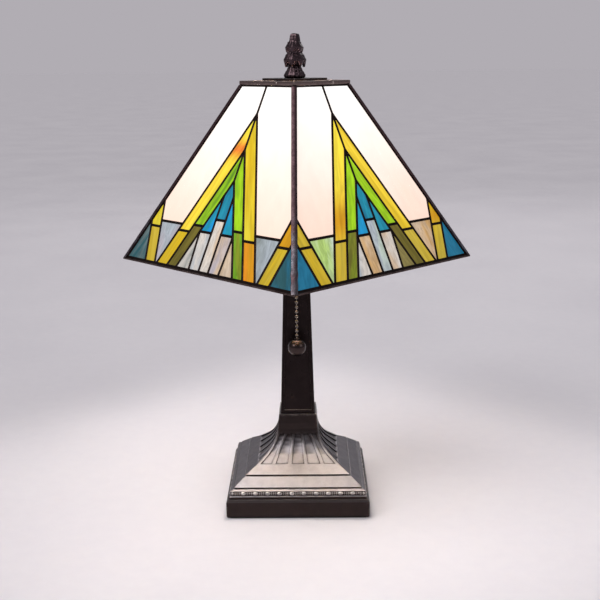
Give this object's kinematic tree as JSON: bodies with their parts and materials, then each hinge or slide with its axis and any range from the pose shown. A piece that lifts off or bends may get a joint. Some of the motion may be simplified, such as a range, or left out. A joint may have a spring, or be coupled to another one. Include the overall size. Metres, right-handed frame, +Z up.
{
  "type": "stained glass table lamp",
  "caption": "Table lamp with a square pyramid shade of leaded art glass on a slim square column and fluted square foot, with a pull-chain socket, harp and finial.",
  "frame": {"origin": "centre of the felt's underside, on the lamp's axis", "axes": "+Z up along the column, -Y to the front where the pull chain hangs, +X to the lamp's left as it faces front"},
  "size_m": [0.3592, 0.3592, 0.483],
  "materials": {
    "dark_bronze_casting": "satin dark bronze over a zinc casting",
    "dark_bronze_column": "satin dark bronze over sheet steel",
    "finial_bronze": "dark antiqued resin and metal powder",
    "cap_bronze": "polished dark bronze",
    "felt": "pressed wool felt",
    "weight_iron": "rough cast",
    "zinc_steel": "zinc plated",
    "bushing_plastic": "moulded nylon",
    "harp_brass": "lacquered brass-plated steel",
    "socket_brass": "lacquered brass",
    "contact_brass": "plain brass",
    "liner_card": "vulcanised fibre",
    "phenolic": "moulded phenolic",
    "chain_metal": "antiqued brass-plated steel",
    "bulb_aluminium": "rolled aluminium",
    "bulb_frosted": "inside-frosted glass",
    "ivory_opalescent": "streaky opalescent",
    "amber_cathedral": "streaky yellow to amber",
    "green_cathedral": "streaky lime to olive",
    "teal_cathedral": "streaky teal",
    "grey_opalescent": "wispy grey, pink and beige opalescent",
    "lead_patina": "dark patina over tin-lead solder",
    "frame_patina": "dark patina over brass strip"
  },
  "bodies": {
    "stand": {"felt_pad": "felt", "base_casting": "dark_bronze_casting", "base_weight": "weight_iron", "lock_washer": "zinc_steel", "rod_nut": "zinc_steel", "threaded_rod": "zinc_steel", "cord_bushing": "bushing_plastic", "column": "dark_bronze_column", "column_cap": "dark_bronze_column", "harp_saddle": "harp_brass", "socket_cap": "socket_brass", "socket_shell": "socket_brass", "socket_sleeve": "liner_card", "socket_insulator": "phenolic", "terminal_screws": "zinc_steel", "screw_shell": "contact_brass", "center_contact": "contact_brass", "chain_guide": "socket_brass"},
    "switch_lever": {"switch_lever": "contact_brass"},
    "chain_top": {"chain_top": "chain_metal"},
    "pull_chain": {"pull_chain": "chain_metal"},
    "pull_ball": {"pull_ball": "chain_metal"},
    "bulb_contact": {"bulb_contact": "contact_brass"},
    "bulb": {"bulb_base": "bulb_aluminium", "bulb_glass": "bulb_frosted"},
    "harp": {"harp": "harp_brass"},
    "ferrule_left": {"ferrule_left": "harp_brass"},
    "ferrule_right": {"ferrule_right": "harp_brass"},
    "harp_stud": {"harp_stud": "harp_brass"},
    "shade": {"front_right_ivory_glass": "ivory_opalescent", "front_right_amber_glass": "amber_cathedral", "front_right_green_glass": "green_cathedral", "front_right_teal_glass": "teal_cathedral", "front_right_opal_glass": "grey_opalescent", "back_right_ivory_glass": "ivory_opalescent", "back_right_amber_glass": "amber_cathedral", "back_right_green_glass": "green_cathedral", "back_right_teal_glass": "teal_cathedral", "back_right_opal_glass": "grey_opalescent", "back_left_ivory_glass": "ivory_opalescent", "back_left_amber_glass": "amber_cathedral", "back_left_green_glass": "green_cathedral", "back_left_teal_glass": "teal_cathedral", "back_left_opal_glass": "grey_opalescent", "front_left_ivory_glass": "ivory_opalescent", "front_left_amber_glass": "amber_cathedral", "front_left_green_glass": "green_cathedral", "front_left_teal_glass": "teal_cathedral", "front_left_opal_glass": "grey_opalescent", "front_right_lead": "lead_patina", "back_right_lead": "lead_patina", "back_left_lead": "lead_patina", "front_left_lead": "lead_patina", "hip_solder": "lead_patina", "rim_band": "frame_patina", "top_frame": "frame_patina", "shade_spider": "frame_patina"},
    "cap_plate": {"cap_plate": "cap_bronze"},
    "finial": {"finial": "finial_bronze", "finial_insert": "harp_brass"}
  },
  "joints": [
    {"name": "chain_pull", "type": "slide", "parent": "stand", "child": "chain_top", "axis": [0, 0, -1], "range_m": [0, 0.009], "stiffness_N_per_m": 400, "springref_m": -0.005},
    {"name": "switch_lever_swing", "type": "hinge", "parent": "stand", "child": "switch_lever", "pos_m": [0, -0.006, 0.28], "axis": [1, 0, 0], "range_deg": [0, 50]},
    {"name": "chain_swing", "type": "hinge", "parent": "chain_top", "child": "pull_chain", "pos_m": [0, -0.032, 0.2755], "axis": [1, 0, 0], "range_deg": [-35, 2.5]},
    {"name": "ball_swing", "type": "hinge", "parent": "pull_chain", "child": "pull_ball", "pos_m": [0, -0.032, 0.181], "axis": [0, 1, 0], "range_deg": [-40, 40]},
    {"name": "bulb_rise", "type": "slide", "parent": "stand", "child": "bulb_contact", "axis": [0, 0, 1], "range_m": [0, 0.019]},
    {"name": "bulb_turn", "type": "hinge", "parent": "bulb_contact", "child": "bulb", "pos_m": [0, 0, 0.31], "axis": [0, 0, 1], "range_deg": [0, 1800]},
    {"name": "harp_lift", "type": "slide", "parent": "stand", "child": "harp", "axis": [0, 0, 1], "range_m": [0, 0.03]},
    {"name": "ferrule_left_lift", "type": "slide", "parent": "harp", "child": "ferrule_left", "axis": [0, 0, 1], "range_m": [0, 0.015]},
    {"name": "ferrule_right_lift", "type": "slide", "parent": "harp", "child": "ferrule_right", "axis": [0, 0, 1], "range_m": [0, 0.015]},
    {"name": "shade_turn", "type": "hinge", "parent": "harp", "child": "harp_stud", "pos_m": [0, 0, 0.431], "axis": [0, 0, 1], "continuous": true},
    {"name": "shade_lift", "type": "slide", "parent": "harp_stud", "child": "shade", "axis": [0, 0, 1], "range_m": [0, 0.2]},
    {"name": "cap_rise", "type": "slide", "parent": "shade", "child": "cap_plate", "axis": [0, 0, 1], "range_m": [0, 0.0094]},
    {"name": "finial_turn", "type": "hinge", "parent": "cap_plate", "child": "finial", "pos_m": [0, 0, 0.445], "axis": [0, 0, 1], "range_deg": [0, 3600]}
  ],
  "couplings": [
    {"joint": "switch_lever_swing", "follows": "chain_pull", "rad_per_m": 90.909},
    {"joint": "bulb_rise", "follows": "bulb_turn", "m_per_rad": 0.00057751},
    {"joint": "finial_turn", "follows": "cap_rise", "rad_per_m": 6679}
  ]
}
